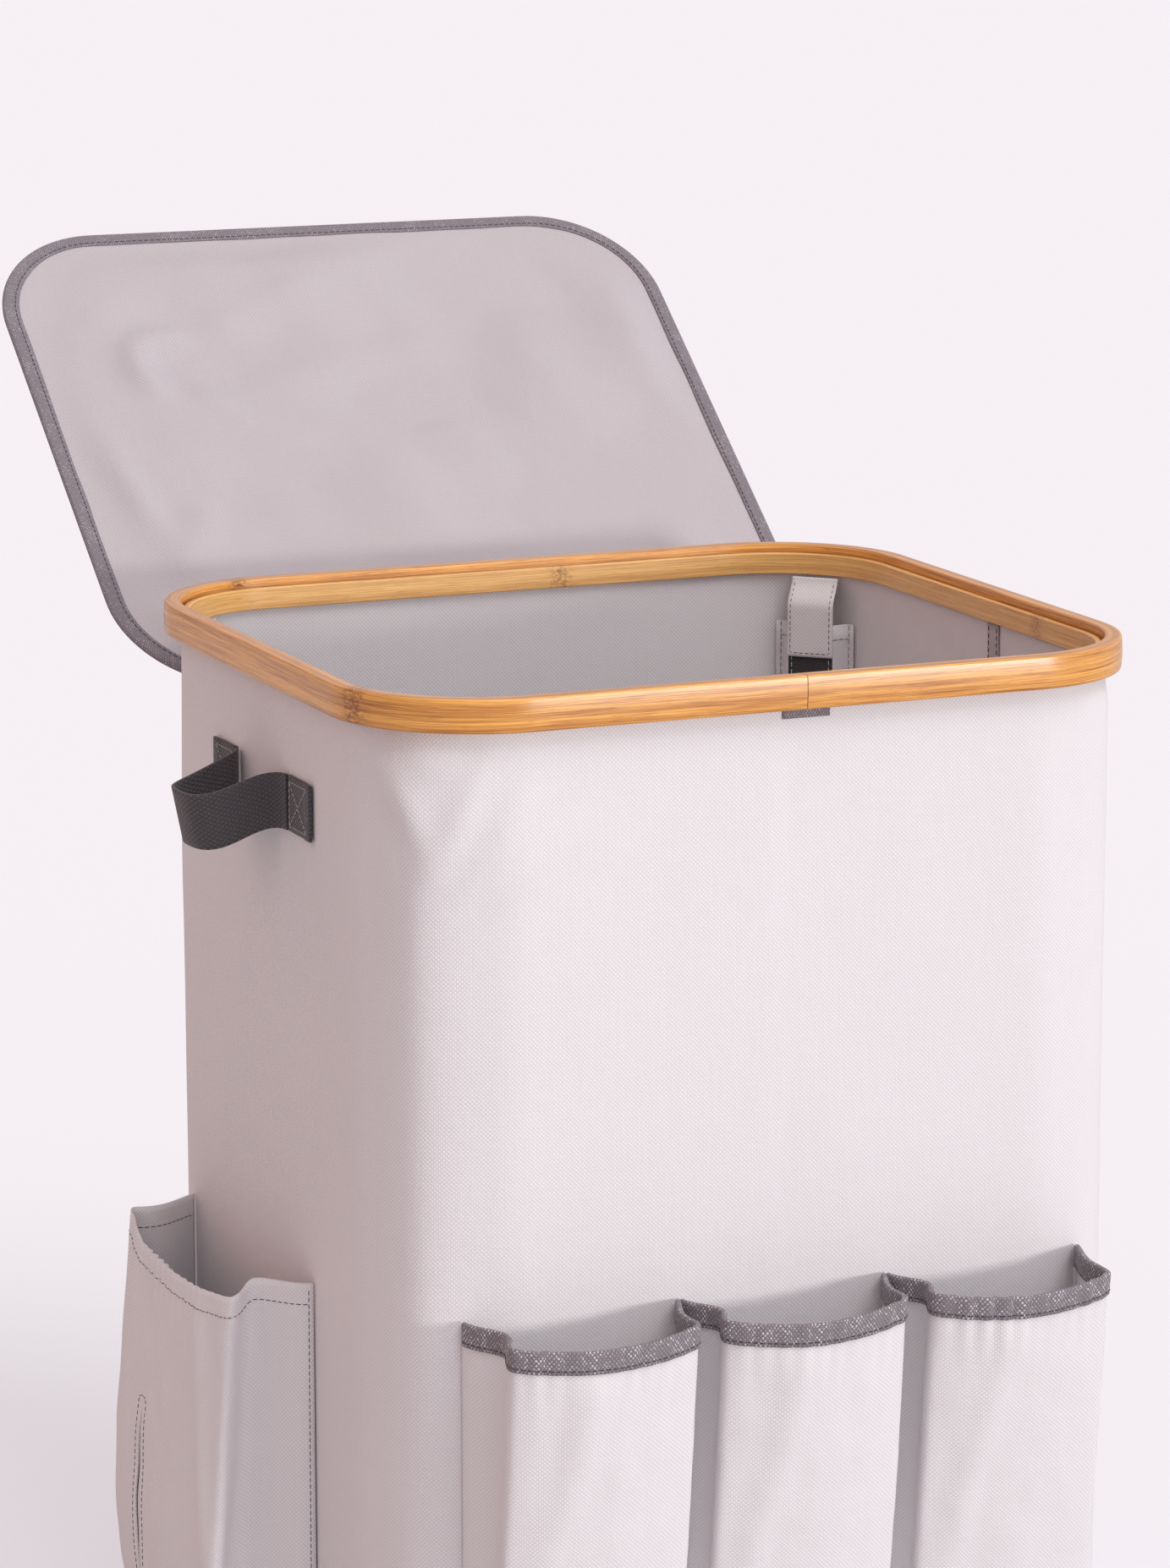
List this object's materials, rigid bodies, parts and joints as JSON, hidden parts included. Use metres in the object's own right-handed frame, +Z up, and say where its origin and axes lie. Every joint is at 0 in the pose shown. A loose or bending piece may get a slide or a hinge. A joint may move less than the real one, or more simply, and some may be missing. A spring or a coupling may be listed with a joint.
{
  "type": "laundry hamper",
  "caption": "Tall soft-sided laundry hamper with a bamboo rim, corner poles, outside pockets, webbing handles and a flap-hinged fabric lid.",
  "frame": {"origin": "centre of the underside of the base, midway between the sides and between the front and the back", "axes": "+Z up, -Y towards the front with the three pockets, +X to the right seen from the front"},
  "size_m": [0.5418, 0.7519, 0.8153],
  "materials": {
    "bamboo": "satin varnished laminated bamboo",
    "pole_wood": "sanded bamboo dowel",
    "body_fabric": "plain-weave polyester, matt",
    "pocket_fabric": "plain-weave polyester, matt",
    "lid_fabric": "plain-weave polyester, matt",
    "grey_tape": "ribbed grosgrain tape",
    "webbing": "ribbed polyester webbing",
    "hook_tape": "hook tape",
    "board": "plain board"
  },
  "bodies": {
    "hamper": {"outer_rim": "bamboo", "inner_rim": "bamboo", "rim_joint_tape": "webbing", "body_wall": "body_fabric", "base_panel": "body_fabric", "base_board": "board", "side_seam_tape": "grey_tape", "pole_front_left": "pole_wood", "pole_back_left": "pole_wood", "pole_front_right": "pole_wood", "pole_back_right": "pole_wood", "pole_sleeve_front_left": "body_fabric", "pole_sleeve_back_left": "body_fabric", "pole_sleeve_front_right": "body_fabric", "pole_sleeve_back_right": "body_fabric", "hook_tape_front_left": "hook_tape", "hook_tape_back_left": "hook_tape", "hook_tape_front_right": "hook_tape", "hook_tape_back_right": "hook_tape", "handle_left_anchor_front": "webbing", "handle_left_anchor_back": "webbing", "handle_right_anchor_front": "webbing", "handle_right_anchor_back": "webbing", "front_pocket_left": "pocket_fabric", "front_pocket_middle": "pocket_fabric", "front_pocket_right": "pocket_fabric", "pocket_tape_left": "grey_tape", "pocket_tape_middle": "grey_tape", "pocket_tape_right": "grey_tape", "side_pocket": "pocket_fabric", "lid_flap_anchor": "body_fabric"},
    "flap_lower": {"lid_flap_lower": "body_fabric"},
    "flap_upper": {"lid_flap_upper": "body_fabric"},
    "lid_hem": {"lid_flap_hem": "lid_fabric"},
    "lid": {"lid_board": "board", "lid_lining": "lid_fabric", "lid_cover": "lid_fabric", "lid_binding": "grey_tape"},
    "handle_left": {"handle_left_loop": "webbing"},
    "handle_right": {"handle_right_loop": "webbing"},
    "tab_front_left": {"pole_tab_front_left": "body_fabric"},
    "tab_back_left": {"pole_tab_back_left": "body_fabric"},
    "tab_front_right": {"pole_tab_front_right": "body_fabric"},
    "tab_back_right": {"pole_tab_back_right": "body_fabric"}
  },
  "joints": [
    {"name": "lid_swing", "type": "hinge", "parent": "hamper", "child": "lid_hem", "pos_m": [0, 0.2052, 0.62], "axis": [1, 0, 0], "range_deg": [0, 212.16], "deforming": ["lid_flap_lower", "lid_flap_upper"]},
    {"name": "lid_seam", "type": "hinge", "parent": "lid_hem", "child": "lid", "pos_m": [0, 0.208, 0.584], "axis": [1, 0, 0], "range_deg": [-70.4, 0]},
    {"name": "flap_foot", "type": "hinge", "parent": "hamper", "child": "flap_lower", "pos_m": [0, 0.2045, 0.63], "axis": [1, 0, 0], "range_deg": [0, 176.1]},
    {"name": "flap_fold", "type": "hinge", "parent": "flap_lower", "child": "flap_upper", "pos_m": [0, 0.2045, 0.6065], "axis": [1, 0, 0], "range_deg": [0, 96.6]},
    {"name": "handle_left_swing", "type": "hinge", "parent": "hamper", "child": "handle_left", "pos_m": [-0.2155, 0.002, 0.5705], "axis": [0, 1, 0], "range_deg": [-30, 50]},
    {"name": "handle_right_swing", "type": "hinge", "parent": "hamper", "child": "handle_right", "pos_m": [0.2155, 0.002, 0.5705], "axis": [0, -1, 0], "range_deg": [-30, 50]},
    {"name": "tab_front_left_peel", "type": "hinge", "parent": "hamper", "child": "tab_front_left", "pos_m": [-0.18996, -0.16696, 0.6318], "axis": [0.7071, -0.7071, 0], "range_deg": [0, 80]},
    {"name": "tab_back_left_peel", "type": "hinge", "parent": "hamper", "child": "tab_back_left", "pos_m": [-0.18996, 0.16696, 0.6318], "axis": [-0.7071, -0.7071, 0], "range_deg": [0, 80]},
    {"name": "tab_front_right_peel", "type": "hinge", "parent": "hamper", "child": "tab_front_right", "pos_m": [0.18996, -0.16696, 0.6318], "axis": [0.7071, 0.7071, 0], "range_deg": [0, 80]},
    {"name": "tab_back_right_peel", "type": "hinge", "parent": "hamper", "child": "tab_back_right", "pos_m": [0.18996, 0.16696, 0.6318], "axis": [-0.7071, 0.7071, 0], "range_deg": [0, 80]}
  ],
  "couplings": [
    {"joint": "lid_seam", "follows": "lid_swing", "ratio": -0.33117},
    {"joint": "flap_foot", "follows": "lid_swing", "ratio": 0.82956},
    {"joint": "flap_fold", "follows": "lid_swing", "ratio": 0.45437}
  ]
}
